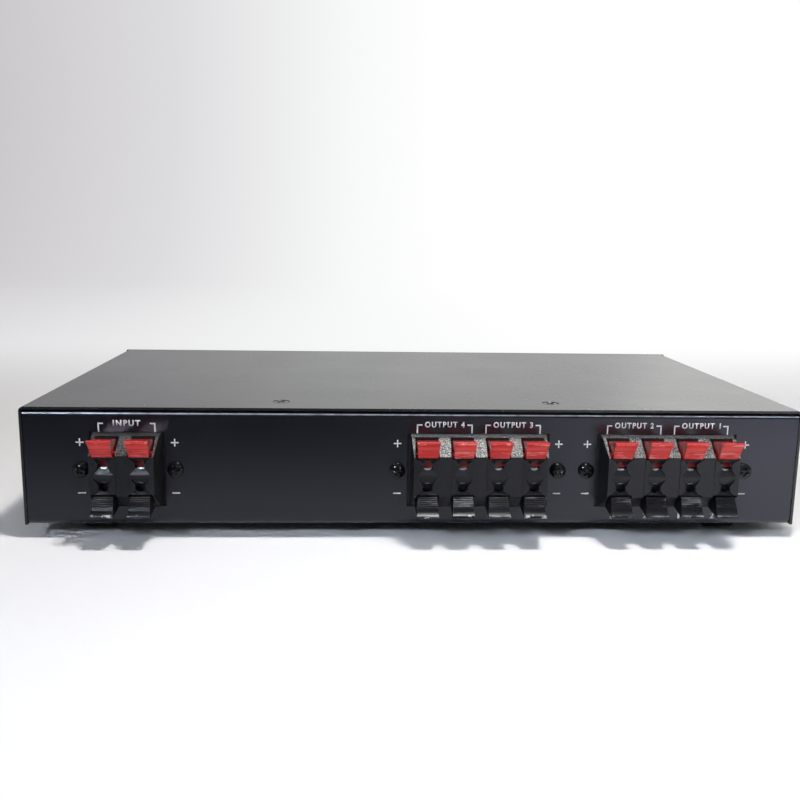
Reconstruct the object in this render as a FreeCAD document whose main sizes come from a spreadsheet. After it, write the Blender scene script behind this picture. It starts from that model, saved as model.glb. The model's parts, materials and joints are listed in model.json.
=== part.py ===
"""Speaker selector switch: a flat sheet-metal case with sprung wire terminals at the rear.

Frame: +X to the right seen from the front, +Y to the rear (the terminals), +Z up.
The origin lies on the surface the feet stand on, below the middle of the whole part.
Millimetres throughout.
"""
import FreeCAD
import Part
import Sketcher
import math
import os

DRIVING_SIZES = {
    # case
    "case_width": 300.0,
    "case_depth": 165.0,             # front of the fascia to the rear panel
    "case_height": 46.0,             # without the feet
    "sheet": 1.0,                    # steel of the cover and the chassis
    "cover_bend": 1.8,               # outer radius of the cover's two folds
    "cover_overhang": 0.3,           # the cover stands past the rear panel
    "cover_side_gap": 0.2,           # between the cover's sides and the chassis
    "chassis_bend": 2.25,            # outer radius of the chassis's four folds
    "chassis_lip": 19.0,             # folds under the cover, front and rear
    "side_lip_height": 10.0,
    "side_lip_relief": 4.0,          # the side lips stop short of the front and rear walls
    "seat_gap": 0.05,                # between two faces that bear on each other
    "fascia_thickness": 3.0,
    "fascia_edge": 0.8,
    "foot_height": 5.8,
    "foot_side": 12.7,
    "foot_edge": 0.9,
    "foot_inset_side": 24.0,
    "foot_inset_end": 20.0,
    # screws
    "screw_diameter": 3.0,
    "screw_clearance": 0.1,          # round a shank, on the radius
    "pan_head_diameter": 6.0,
    "pan_head_height": 2.0,
    "cover_head_diameter": 7.0,
    "cover_head_clearance": 0.06,
    "cover_screw_spacing": 106.8,
    "cover_screw_setback": 13.2,
    "cover_screw_length": 7.0,
    "terminal_screw_length": 6.5,
    "fascia_screw_inset": 14.0,      # from the case's sides
    "fascia_screw_grip": 2.2,        # thread in the fascia
    # terminal blocks
    "input_block_inset": 39.7,       # block's middle from the case's right side
    "output_block_inset": 53.0,      # and block b's from the left side
    "output_block_spacing": 73.7,    # block a from block b
    "block_rise": 21.9,              # middle of the blocks above the case's bottom
    "column_pitch": 13.5,
    "wire_row_spacing": 8.4,
    "block_end": 6.0,                # from the outer column's middle to the block's end
    "block_end_taper": 0.9,          # each end draws in by this towards the face
    "block_half_height": 14.3,
    "block_shoulder_drop": 1.1,      # below the block's half height
    "block_shoulder_reach": 3.2,
    "block_shoulder_radius": 3.0,
    "face_reach": 10.5,              # the terminals' face stands this far off the panel
    "face_half_height": 7.5,
    "face_edge": 0.6,
    "face_thickness": 2.0,
    "column_gap_recess": 0.3,        # the face is sunk a little between two columns
    "column_field_width": 8.9,
    "cutout_side_gap": 1.25,
    "cutout_height_gap": 0.3,
    "block_back_reach": 10.0,        # depth behind the panel
    "block_wall": 2.3,
    "block_web_half": 0.6,           # half the web between the red and black rows
    "block_flange_thickness": 2.0,
    "block_flange_margin": 4.2,      # flange beyond the screws
    "block_flange_lip": 2.1,         # flange beyond the block's half height
    "terminal_screw_offset": 3.75,   # screw beyond the panel's cut-out
    "back_plate_thickness": 1.6,
    "wire_hole_diameter": 3.8,
    "lead_in_depth": 1.3,
    "lead_in_width": 7.4,
    "lead_in_edge": 0.06,
    "lead_in_land_half": 0.5,        # half the land between the two rows' lead-ins
    # levers, seen from the side: reach from the panel and rise from the block's middle
    "lever_width": 8.6,
    "lever_side_gap": 0.2,
    "slot_edge_step": 0.6,           # the face's edge is cut back by this at each slot
    "lever_top_gap": 0.25,           # between the lever and that edge
    "lever_slot_floor": 2.2,
    "pivot_reach": 7.2,
    "pivot_rise": 8.0,
    "pivot_diameter": 2.0,           # across the lugs' corners
    "pivot_clearance": 0.05,
    "pivot_engagement": 0.4,
    "tab_tip_reach": 15.3,
    "tab_tip_rise": 14.65,
    "tab_tip_flat": 0.7,
    "tab_tip_edge": 0.5,
    "tab_back_reach": 5.6,
    "tab_back_rise": 13.15,
    "tab_base_reach": 11.0,
    "arm_front_reach": 6.9,
    "arm_back_reach": 4.5,
    "arm_front_rise": 3.2,
    "arm_back_rise": 3.9,
    "arm_heel_step": 0.5,
    "rib_depth": 0.35,
    "rib_pitch": 0.85,
    "rib_first_rise": 8.6,
    # spring contacts
    "contact_width": 4.0,
    "contact_thickness": 0.5,
    "contact_rise": 2.0,
    "contact_lip_reach": 8.4,
    "contact_lip_rise": 2.95,
    "contact_tag": 6.0,              # solder tag behind the back plate
    "contact_slot_clearance": 0.15,
    "spring_foot_reach": -4.4,
    "spring_tip_reach": 4.1,
    "spring_tip_rise": 6.5,
    "spring_thickness": 0.4,
    # push switches
    "button_inset": 66.0,            # outer buttons' middle from the case's sides
    "button_width": 16.0,
    "button_height": 9.0,
    "button_reach": 5.0,             # stands this far off the fascia
    "button_length": 12.0,
    "button_edge": 0.6,
    "button_gap": 0.4,
    "button_travel": 3.0,
    "plunger_side": 4.0,
    "plunger_gap": 0.1,
    "plunger_fit": 0.05,             # in the button's socket
    "plunger_socket": 5.0,
    "plunger_engagement": 8.0,
    "switch_width": 12.0,
    "switch_height": 12.0,
    "switch_length": 22.0,
    "switch_setback": 2.0,
    "switch_bottom_gap": 0.6,        # left at the end of the plunger's stroke
    # circuit board and what it carries
    "board_inset": 25.0,             # from the case's sides
    "board_depth": 62.0,
    "board_thickness": 1.6,
    "board_setback": 6.0,            # behind the front wall
    "support_height": 14.0,
    "support_grip": 3.0,             # reaches this far over the board's edge
    "support_wall": 3.0,
    "support_lip": 2.0,
    "support_length": 10.0,
    "support_inset": 7.0,            # from the board's front and rear edges
    "resistor_length": 25.0,
    "resistor_width": 10.0,
    "resistor_height": 9.0,
    "resistor_pitch": 30.0,
    "resistor_setback": 10.0,        # from the board's rear edge
    "ribbon_thickness": 1.2,
    "ribbon_margin": 2.0,            # each side of the outer columns
    "ribbon_run": 14.0,              # straight start behind a block
    "ribbon_lead": 12.0,             # comes down this far behind the board's edge
    "ribbon_overlap": 8.0,           # length that lies on the board
}

COLUMNS = {"input": 2, "output_a": 4, "output_b": 4}
BUTTON_NAMES = ("speaker_1", "speaker_2", "speaker_3", "speaker_4", "protection")
RIB_COUNT = 5
RESISTOR_COUNT = 4
HIDDEN_SIDES = 8                     # round shanks, bores, lugs and heads out of sight
WIRE_HOLE_SIDES = 16
X_AXIS = FreeCAD.Vector(1, 0, 0)
Y_AXIS = FreeCAD.Vector(0, 1, 0)
Z_AXIS = FreeCAD.Vector(0, 0, 1)
TOLERANCE = 1e-4


class Size:
    """A length held both as a number and as the spreadsheet expression that gives it."""

    def __init__(self, value, text):
        self.value = value
        self.text = text

    def __add__(self, other):
        other = as_size(other)
        return Size(self.value + other.value, f"({self.text} + {other.text})")

    def __sub__(self, other):
        other = as_size(other)
        return Size(self.value - other.value, f"({self.text} - {other.text})")

    def __mul__(self, factor):
        factor = as_size(factor)
        return Size(self.value * factor.value, f"({self.text} * {factor.text})")

    def __truediv__(self, divisor):
        divisor = as_size(divisor)
        return Size(self.value / divisor.value, f"({self.text} / {divisor.text})")

    def __neg__(self):
        return Size(-self.value, f"(-1 * {self.text})")

    __radd__ = __add__
    __rmul__ = __mul__


def as_size(number):
    """Turn a plain factor or zero into a Size, and leave a Size as it is."""
    if isinstance(number, Size):
        return number
    return Size(float(number), repr(float(number)))


class Sheet:
    """The spreadsheet of driving sizes, read by name."""

    def __init__(self, document, sizes):
        cells = document.addObject("Spreadsheet::Sheet", "Sizes")
        for row, (name, value) in enumerate(sizes.items(), start=1):
            cells.set(f"A{row}", name)
            cells.set(f"B{row}", str(value))
            cells.setAlias(f"B{row}", name)
        document.recompute()
        for name in sizes:
            setattr(self, name, Size(float(cells.get(name)), f"Sizes.{name}"))


doc = FreeCAD.newDocument("speaker_selector_switch")
s = Sheet(doc, DRIVING_SIZES)
parts = []

# Levels and stations that several pieces share.
bottom = s.foot_height
top = bottom + s.case_height
half_width = s.case_width / 2
front = (s.button_reach - s.case_depth - s.tab_tip_reach) / 2
rear = front + s.case_depth
cover_inside = top - s.sheet
chassis_top = cover_inside - s.seat_gap
chassis_half = half_width - s.sheet - s.cover_side_gap
wall_front = front + s.fascia_thickness + s.seat_gap
wall_back = wall_front + s.sheet
floor = bottom + s.sheet
block_level = bottom + s.block_rise
screw_radius = s.screw_diameter / 2
screw_hole = screw_radius + s.screw_clearance
board_half = half_width - s.board_inset
board_bottom = floor + s.support_height
board_top = board_bottom + s.board_thickness
board_front = wall_back + s.board_setback
board_back = board_front + s.board_depth
button_level = board_top + s.seat_gap + s.switch_height / 2
switch_front = board_front + s.switch_setback
lever_slot_half = s.lever_width / 2 + s.lever_side_gap
lever_edge_rise = s.face_half_height - s.slot_edge_step
block_back = -(s.sheet + s.block_back_reach)
flange_half_height = s.block_half_height + s.block_flange_lip


# ---------------------------------------------------------------- modelling helpers

def bind(thing, path, size):
    """Set a property now and keep it tied to the spreadsheet."""
    if "." not in path:
        setattr(thing, path, size.value)
    thing.setExpression(path, size.text)


def place(thing, x=0, y=0, z=0, rotation=FreeCAD.Rotation()):
    """Put an object at a point, with each coordinate tied to the spreadsheet."""
    point = [as_size(x), as_size(y), as_size(z)]
    thing.Placement = FreeCAD.Placement(FreeCAD.Vector(*[p.value for p in point]), rotation)
    for letter, coordinate in zip("xyz", point):
        thing.setExpression(f"Placement.Base.{letter}", coordinate.text)


def new_body(name, x=0, y=0, z=0, rotation=FreeCAD.Rotation()):
    """Start one piece of the assembly as a body of its own."""
    body = doc.addObject("PartDesign::Body", name)
    body.Label = name
    place(body, x, y, z, rotation)
    parts.append(body)
    return body


def origin_feature(body, role):
    """Give a body's own origin plane or axis, such as XZ_Plane or X_Axis."""
    return next(f for f in body.Origin.OriginFeatures if f.Role == role)


def polygon(sketch, corners):
    """Draw a closed outline whose every corner is tied to the spreadsheet."""
    first = sketch.GeometryCount
    corners = [(as_size(x), as_size(y)) for x, y in corners]
    count = len(corners)
    points = [FreeCAD.Vector(x.value, y.value, 0) for x, y in corners]
    lines = [Part.LineSegment(points[i], points[(i + 1) % count]) for i in range(count)]
    sketch.addGeometry(lines, False)
    joins = [Sketcher.Constraint("Coincident", first + i, 2, first + (i + 1) % count, 1)
             for i in range(count)]
    sketch.addConstraint(joins)
    for i, (x, y) in enumerate(corners):
        fix_point(sketch, first + i, 1, x, y)


def fix_point(sketch, geometry, end, x, y):
    """Hold one point of a sketch at a place given by the spreadsheet."""
    for kind, size in (("DistanceX", x), ("DistanceY", y)):
        index = sketch.addConstraint(Sketcher.Constraint(kind, -1, 1, geometry, end, size.value))
        sketch.setExpression(f"Constraints[{index}]", size.text)


def circle(sketch, x, y, radius):
    """Draw a circle tied to the spreadsheet."""
    x, y, radius = as_size(x), as_size(y), as_size(radius)
    shape = Part.Circle(FreeCAD.Vector(x.value, y.value, 0), Z_AXIS, radius.value)
    index = sketch.addGeometry(shape, False)
    fix_point(sketch, index, 3, x, y)
    radius_index = sketch.addConstraint(Sketcher.Constraint("Radius", index, radius.value))
    sketch.setExpression(f"Constraints[{radius_index}]", radius.text)


def rectangle(x_low, x_high, y_low, y_high):
    """Corners of an upright rectangle."""
    return [(x_low, y_low), (x_high, y_low), (x_high, y_high), (x_low, y_high)]


def new_sketch(body, name, plane, at=0, outlines=(), circles=()):
    """Add a sketch on one of the body's origin planes, moved to a station along its axis."""
    sketch = body.newObject("Sketcher::SketchObject", name)
    sketch.AttachmentSupport = [(origin_feature(body, plane), "")]
    sketch.MapMode = "FlatFace"
    # The XZ plane faces -Y, so its offset is counted backwards.
    offset = -as_size(at) if plane == "XZ_Plane" else as_size(at)
    sketch.AttachmentOffset = FreeCAD.Placement(FreeCAD.Vector(0, 0, offset.value),
                                                FreeCAD.Rotation())
    sketch.setExpression("AttachmentOffset.Base.z", offset.text)
    for corners in outlines:
        polygon(sketch, corners)
    for x, y, radius in circles:
        circle(sketch, x, y, radius)
    return sketch


def volume(body):
    """Volume of what the body holds so far."""
    return body.Tip.Shape.Volume if body.Tip else 0.0


def grow_or_cut(body, kind, name, sketch, length, side, rearwards):
    """Pad or pocket a sketch, and make sure that it really adds or removes material."""
    before = volume(body)
    feature = body.newObject(f"PartDesign::{kind}", name)
    feature.Profile = sketch
    feature.SideType = side
    bind(feature, "Length", as_size(length))
    # A pad follows the plane's normal and a pocket goes against it.
    towards_normal = kind == "Pad"
    faces_back = sketch.AttachmentSupport[0][0].Role == "XZ_Plane"
    feature.Reversed = side == "One side" and (rearwards == faces_back) == towards_normal
    doc.recompute()
    change = feature.Shape.Volume - before
    if (change > 0) != towards_normal or abs(change) < TOLERANCE:
        raise ValueError(f"{body.Label}: {name} changes the volume by {change}")
    return feature


def pad(body, name, sketch, length, side="One side", rearwards=True):
    """Add a sketch's outline as material, towards +X, +Y or +Z unless told otherwise."""
    return grow_or_cut(body, "Pad", name, sketch, length, side, rearwards)


def pocket(body, name, sketch, length, side="One side", rearwards=True):
    """Cut a sketch's outline away, towards +X, +Y or +Z unless told otherwise."""
    return grow_or_cut(body, "Pocket", name, sketch, length, side, rearwards)


def dress(body, kind, name, radius, test):
    """Fillet or chamfer the edges of the body's last feature that pass a test."""
    base = body.Tip
    names = [f"Edge{i}" for i, edge in enumerate(base.Shape.Edges, start=1) if test(edge)]
    if not names:
        raise ValueError(f"{body.Label}: {name} finds no edge")
    feature = body.newObject(f"PartDesign::{kind}", name)
    feature.Base = (base, names)
    bind(feature, "Radius" if kind == "Fillet" else "Size", as_size(radius))
    doc.recompute()
    return feature


def runs_along(edge, axis):
    """True for a straight edge parallel to an axis."""
    if edge.Curve.TypeId != "Part::GeomLine":
        return False
    direction = edge.Vertexes[1].Point - edge.Vertexes[0].Point
    return direction.getAngle(axis) < TOLERANCE or (-direction).getAngle(axis) < TOLERANCE


def near(value, size):
    """True where a coordinate has the value of a size."""
    return abs(value - size.value) < TOLERANCE


def fold(body, name, radius, axis, places):
    """Round the straight edges along an axis that stand at any of the given places."""
    def is_fold(edge):
        middle = edge.CenterOfMass
        across = (middle.x, middle.z) if axis == Y_AXIS else (middle.y, middle.z)
        return runs_along(edge, axis) and any(
            near(across[0], as_size(first)) and near(across[1], as_size(second))
            for first, second in places)
    return dress(body, "Fillet", name, radius, is_fold)


def countersink(body, x, y):
    """Cut the cone that one of the cover's screws sits in."""
    cone = body.newObject("PartDesign::SubtractiveCone", "countersink")
    bind(cone, "Height", cover_head_depth)
    bind(cone, "Radius1", screw_radius + s.cover_head_clearance)
    bind(cone, "Radius2", s.cover_head_diameter / 2 + s.cover_head_clearance)
    place(cone, x, y, top - cover_head_depth)
    doc.recompute()


def hidden_round(x, y, radius):
    """Corners of the regular outline that stands for a small circle out of sight."""
    angles = [math.pi * (2 * i + 1) / HIDDEN_SIDES for i in range(HIDDEN_SIDES)]
    return [(x + radius * math.cos(angle), y + radius * math.sin(angle)) for angle in angles]


# ---------------------------------------------------------------- places of repeated pieces

cover_head_depth = (s.cover_head_diameter - s.screw_diameter) / 2
cover_screw_y = rear - s.cover_screw_setback
cover_screw_points = [(s.cover_screw_spacing / 2 * side, cover_screw_y) for side in (-1, 1)]
fascia_screw_points = [((half_width - s.fascia_screw_inset) * side, bottom + s.case_height / 2)
                       for side in (-1, 1)]
foot_points = {
    f"foot_{end}_{hand}": ((half_width - s.foot_inset_side) * side, y)
    for end, y in (("front", front + s.foot_inset_end), ("rear", rear - s.foot_inset_end))
    for hand, side in (("left", -1), ("right", 1))
}
button_x = [(half_width - s.button_inset) * (2 * i / (len(BUTTON_NAMES) - 1) - 1)
            for i in range(len(BUTTON_NAMES))]
block_x = {"input": half_width - s.input_block_inset,
           "output_a": s.output_block_inset + s.output_block_spacing - half_width,
           "output_b": s.output_block_inset - half_width}


def column_offsets(columns):
    """Places of a block's columns along X, from its middle."""
    return [s.column_pitch * (i - (columns - 1) / 2) for i in range(columns)]


def block_half_length(columns):
    """Half the length of a block where it comes through the panel."""
    return s.column_pitch * ((columns - 1) / 2) + s.block_end


def terminal_screw_x(columns):
    """Distance of a block's two screws from its middle."""
    return block_half_length(columns) + s.cutout_side_gap + s.terminal_screw_offset


# ---------------------------------------------------------------- case

def make_top_cover():
    """Folded lid: one sheet over the top and down both sides."""
    body = new_body("top_cover")
    inner = half_width - s.sheet
    outline = [(-half_width, bottom), (-inner, bottom), (-inner, cover_inside), (inner, cover_inside),
               (inner, bottom), (half_width, bottom), (half_width, top), (-half_width, top)]
    section = new_sketch(body, "section", "XZ_Plane", wall_front, [outline])
    pad(body, "folded_sheet", section, rear + s.cover_overhang - wall_front)
    fold(body, "outer_folds", s.cover_bend, Y_AXIS, [(half_width, top), (-half_width, top)])
    fold(body, "inner_folds", s.cover_bend - s.sheet, Y_AXIS,
         [(inner, cover_inside), (-inner, cover_inside)])
    for x, y in cover_screw_points:
        countersink(body, x, y)


def make_chassis():
    """Folded base: bottom, front wall and rear panel, with lips under the cover."""
    body = new_body("chassis")
    lip_rear, lip_front = rear - s.chassis_lip, wall_front + s.chassis_lip
    lip_under = chassis_top - s.sheet
    inside_rear = rear - s.sheet
    outline = [(lip_rear, chassis_top), (rear, chassis_top), (rear, bottom), (wall_front, bottom),
               (wall_front, chassis_top), (lip_front, chassis_top), (lip_front, lip_under),
               (wall_back, lip_under), (wall_back, floor), (inside_rear, floor),
               (inside_rear, lip_under), (lip_rear, lip_under)]
    section = new_sketch(body, "section", "YZ_Plane", 0, [outline])
    pad(body, "folded_sheet", section, chassis_half * 2, "Symmetric")
    fold(body, "outer_folds", s.chassis_bend, X_AXIS,
         [(rear, chassis_top), (rear, bottom), (wall_front, bottom), (wall_front, chassis_top)])
    fold(body, "inner_folds", s.chassis_bend - s.sheet, X_AXIS,
         [(inside_rear, lip_under), (inside_rear, floor), (wall_back, floor), (wall_back, lip_under)])
    side_lips = [rectangle((chassis_half - s.sheet) * side, chassis_half * side,
                           bottom, bottom + s.side_lip_height) for side in (1, -1)]
    lips = new_sketch(body, "side_lip_section", "XZ_Plane", wall_back + s.side_lip_relief, side_lips)
    pad(body, "side_lips", lips, inside_rear - wall_back - s.side_lip_relief * 2)
    relief = s.cover_bend - s.sheet
    slivers = [[((chassis_half - relief) * side, chassis_top), (chassis_half * side, chassis_top - relief),
                (chassis_half * side, top), ((chassis_half - relief) * side, top)] for side in (1, -1)]
    corners = new_sketch(body, "corner_relief", "XZ_Plane", wall_front, slivers)
    pocket(body, "relieved_corners", corners, rear - wall_front)
    cut_rear_panel(body)
    cut_front_wall(body)
    holes = new_sketch(body, "cover_screw_holes", "XY_Plane", lip_under,
                       [hidden_round(x, y, screw_hole) for x, y in cover_screw_points])
    pocket(body, "cover_screw_bores", holes, s.sheet)
    for x, y in cover_screw_points:
        countersink(body, x, y)


def cut_rear_panel(body):
    """Cut the terminal blocks' windows and their screw holes."""
    half_height = s.block_half_height + s.cutout_height_gap
    windows, holes = [], []
    for block, columns in COLUMNS.items():
        x = block_x[block]
        half = block_half_length(columns) + s.cutout_side_gap
        windows.append(rectangle(x - half, x + half, block_level - half_height,
                                 block_level + half_height))
        holes += [hidden_round(x + terminal_screw_x(columns) * side, block_level, screw_hole)
                  for side in (-1, 1)]
    cuts = new_sketch(body, "terminal_windows", "XZ_Plane", rear - s.sheet, windows + holes)
    pocket(body, "terminal_cut_outs", cuts, s.sheet)


def cut_front_wall(body):
    """Cut the buttons' holes and the fascia's screw holes."""
    holes = [hidden_round(x, z, screw_hole) for x, z in fascia_screw_points]
    cuts = new_sketch(body, "button_windows", "XZ_Plane", wall_front, button_windows() + holes)
    pocket(body, "button_cut_outs", cuts, s.sheet)


def button_windows():
    """Outlines of the holes that the buttons run in."""
    half_w = s.button_width / 2 + s.button_gap
    half_h = s.button_height / 2 + s.button_gap
    return [rectangle(x - half_w, x + half_w, button_level - half_h, button_level + half_h)
            for x in button_x]


def make_front_fascia():
    """Front plate over the chassis's front wall."""
    body = new_body("front_fascia")
    plate = new_sketch(body, "plate_outline", "XZ_Plane", front,
                       [rectangle(-half_width, half_width, bottom, top)])
    pad(body, "plate", plate, s.fascia_thickness)
    dress(body, "Fillet", "front_edges", s.fascia_edge,
          lambda edge: near(edge.CenterOfMass.y, front))
    windows = new_sketch(body, "button_windows", "XZ_Plane", front, button_windows())
    pocket(body, "button_cut_outs", windows, s.fascia_thickness)
    depth = s.fascia_screw_grip + s.screw_clearance
    holes = new_sketch(body, "screw_holes", "XZ_Plane", front + s.fascia_thickness - depth,
                       [hidden_round(x, z, screw_hole) for x, z in fascia_screw_points])
    pocket(body, "screw_bores", holes, depth)


def make_feet():
    """Four square rubber feet stuck to the bottom."""
    for name, (x, y) in foot_points.items():
        body = new_body(name, x, y, 0)
        half = s.foot_side / 2
        square = new_sketch(body, "square", "XY_Plane", 0, [rectangle(-half, half, -half, half)])
        pad(body, "pad", square, s.foot_height - s.seat_gap)
        dress(body, "Chamfer", "lower_edges", s.foot_edge,
              lambda edge: abs(edge.CenterOfMass.z) < TOLERANCE)


# ---------------------------------------------------------------- fasteners

def make_cover_screws():
    """Two countersunk screws through the cover into the rear lip."""
    body = new_body("cover_screws")
    shank_start = top - s.cover_screw_length
    shanks = new_sketch(body, "shank_outlines", "XY_Plane", shank_start,
                        [hidden_round(x, y, screw_radius) for x, y in cover_screw_points])
    pad(body, "shanks", shanks, s.cover_screw_length - cover_head_depth)
    for x, y in cover_screw_points:
        head = body.newObject("PartDesign::AdditiveCone", "head")
        bind(head, "Height", cover_head_depth)
        bind(head, "Radius1", screw_radius)
        bind(head, "Radius2", s.cover_head_diameter / 2)
        place(head, x, y, top - cover_head_depth)
        doc.recompute()


def make_pan_screws(name, points, seat, length, in_sight):
    """A set of pan-head screws: heads behind a face and shanks forwards through it."""
    body = new_body(name)
    radius = s.pan_head_diameter / 2
    outlines = [] if in_sight else [hidden_round(x, z, radius) for x, z in points]
    circles = [(x, z, radius) for x, z in points] if in_sight else []
    heads = new_sketch(body, "head_outlines", "XZ_Plane", seat, outlines, circles)
    pad(body, "heads", heads, s.pan_head_height)
    shanks = new_sketch(body, "shank_outlines", "XZ_Plane", seat,
                        [hidden_round(x, z, screw_radius) for x, z in points])
    pad(body, "shanks", shanks, length, rearwards=False)


def make_fasteners():
    """All the screws, one piece of the tree for each kind."""
    make_cover_screws()
    terminal_points = [(block_x[block] + terminal_screw_x(columns) * side, block_level)
                       for block, columns in COLUMNS.items() for side in (-1, 1)]
    make_pan_screws("terminal_screws", terminal_points, rear + s.seat_gap,
                    s.terminal_screw_length, in_sight=True)
    make_pan_screws("fascia_screws", fascia_screw_points, wall_back + s.seat_gap,
                    s.sheet + s.seat_gap * 2 + s.fascia_screw_grip, in_sight=False)


# ---------------------------------------------------------------- terminal blocks

def make_block(block, columns):
    """Moulded block: a tapered nose through the panel, a flange behind it and two rows of cells."""
    body = new_body(f"{block}_terminal_block", block_x[block], rear, block_level)
    half = block_half_length(columns)
    shoulder = (s.block_shoulder_reach, s.block_half_height - s.block_shoulder_drop)
    corner = (s.face_reach, s.face_half_height)
    profile = [(block_back, s.block_half_height), (0, s.block_half_height), shoulder, corner]
    profile += [(reach, -as_size(rise)) for reach, rise in reversed(profile)]
    side = new_sketch(body, "side_profile", "YZ_Plane", 0, [profile])
    pad(body, "nose", side, half * 2, "Symmetric")
    for name, radius, (reach, rise) in (("rounded_shoulders", s.block_shoulder_radius, shoulder),
                                        ("rounded_face_edges", s.face_edge, corner)):
        fold(body, name, radius, X_AXIS, [(reach, rise), (reach, -rise)])
    taper_ends(body, half)
    add_flange(body, columns, half)
    cut_cells(body, columns)
    cut_wire_holes(body, columns)


def taper_ends(body, half):
    """Draw both ends in towards the face, as the mould needs."""
    slivers = [[(half * side, 0), ((half + s.block_end_taper) * side, 0),
                ((half + s.block_end_taper) * side, s.face_reach),
                ((half - s.block_end_taper) * side, s.face_reach)] for side in (1, -1)]
    plan = new_sketch(body, "end_taper", "XY_Plane", 0, slivers)
    pocket(body, "tapered_ends", plan, s.block_half_height * 2, "Symmetric")


def add_flange(body, columns, half):
    """Add the flange that the screws pull against the panel from behind."""
    reach = terminal_screw_x(columns)
    flange_half = reach + s.block_flange_margin
    flange_front = -(s.sheet + s.seat_gap)
    outline = rectangle(-flange_half, flange_half, -flange_half_height, flange_half_height)
    plate = new_sketch(body, "flange_outline", "XZ_Plane", flange_front, [outline])
    pad(body, "flange", plate, s.block_flange_thickness, rearwards=False)
    holes = new_sketch(body, "screw_holes", "XZ_Plane", flange_front,
                       [hidden_round(reach * side, 0, screw_hole) for side in (-1, 1)])
    pocket(body, "screw_bores", holes, s.block_flange_thickness, rearwards=False)


def cut_cells(body, columns):
    """Hollow each cell from behind, open its lever's slot, and cut the sockets of the lever's lugs."""
    cells, slots, sockets, gaps = [], [], [], []
    offsets = column_offsets(columns)
    cell_top = s.block_half_height - s.block_wall
    socket_half = s.pivot_diameter / 2 + s.pivot_clearance
    socket_reach = lever_slot_half + s.pivot_engagement + s.pivot_clearance
    for x in offsets:
        for up in (1, -1):
            cells.append(rectangle(x - lever_slot_half, x + lever_slot_half,
                                   s.block_web_half * up, cell_top * up))
            slots.append(rectangle(x - lever_slot_half, x + lever_slot_half,
                                   lever_edge_rise * up, flange_half_height * up))
            sockets.append(rectangle(x - socket_reach, x + socket_reach,
                                     s.pivot_rise * up - socket_half, s.pivot_rise * up + socket_half))
    for left, right in zip(offsets, offsets[1:]):
        gaps.append(rectangle(left + s.column_field_width / 2, right - s.column_field_width / 2,
                              -s.block_half_height, s.block_half_height))
    hollows = new_sketch(body, "cell_outlines", "XZ_Plane", block_back, cells)
    pocket(body, "cells", hollows, s.face_reach - s.face_thickness - block_back)
    openings = new_sketch(body, "slot_outlines", "XZ_Plane", s.lever_slot_floor, slots)
    pocket(body, "lever_slots", openings, s.face_reach)
    bearings = new_sketch(body, "socket_outlines", "XZ_Plane", s.pivot_reach - socket_half, sockets)
    pocket(body, "lug_sockets", bearings, socket_half * 2)
    sunk = new_sketch(body, "gap_outlines", "XZ_Plane", s.face_reach - s.column_gap_recess, gaps)
    pocket(body, "sunk_gaps", sunk, s.column_gap_recess)


def cut_wire_holes(body, columns):
    """Cut the wire holes and the ramps that lead into them, in the first column and then the rest."""
    first = column_offsets(columns)[0]
    hole_rise = s.wire_row_spacing / 2
    inner_end = hole_rise - s.wire_hole_diameter / 4
    outer_end = hole_rise + s.wire_hole_diameter / 4
    mouth = (s.lead_in_width / 2, s.lead_in_edge)
    throat = (s.wire_hole_diameter / 2, s.lead_in_depth)
    ramps = [(s.lead_in_land_half, inner_end, mouth, throat),
             (outer_end, lever_edge_rise, throat, mouth),
             (-inner_end, -s.lead_in_land_half, throat, mouth),
             (-lever_edge_rise, -outer_end, mouth, throat)]
    for row, up in (("red", 1), ("black", -1)):
        repeat(body, f"{row}_holes", [wire_hole(body, first, hole_rise * up)], columns)
    repeat(body, "ramp_columns", [lead_in(body, first, *ramp) for ramp in ramps], columns)


def repeat(body, name, originals, columns):
    """Repeat the first column's cuts at the block's other columns."""
    pattern = body.newObject("PartDesign::LinearPattern", name)
    pattern.Originals = originals
    pattern.Direction = (origin_feature(body, "X_Axis"), [""])
    pattern.Occurrences = columns
    bind(pattern, "Length", s.column_pitch * (columns - 1))
    body.Tip = pattern
    doc.recompute()


def wire_hole(body, x, rise):
    """Cut one wire hole through the face, round enough in WIRE_HOLE_SIDES flats."""
    hole = body.newObject("PartDesign::SubtractivePrism", "wire_hole")
    place(hole, x, s.face_reach + s.face_thickness, rise, FreeCAD.Rotation(X_AXIS, 90))
    hole.Polygon = WIRE_HOLE_SIDES
    bind(hole, "Circumradius", s.wire_hole_diameter / 2)
    bind(hole, "Height", s.face_thickness * 2)
    doc.recompute()
    return hole


def lead_in(body, x, low, high, low_end, high_end):
    """Cut one ramp in the face, from one rise to another: wide and shallow to narrow and deep."""
    ramp = body.newObject("PartDesign::SubtractiveWedge", "lead_in")
    # The wedge's own Y runs up the face and its Z into it, from a plane off the face.
    place(ramp, x, s.face_reach + s.face_thickness, 0, FreeCAD.Rotation(X_AXIS, 90))
    bind(ramp, "Ymin", low)
    bind(ramp, "Ymax", high)
    for end, (half_wide, depth) in (("", low_end), ("2", high_end)):
        bind(ramp, f"X{end}min", -half_wide)
        bind(ramp, f"X{end}max", half_wide)
        bind(ramp, f"Z{end}min", as_size(0))
        bind(ramp, f"Z{end}max", s.face_thickness + depth)
    doc.recompute()
    return ramp


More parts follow.
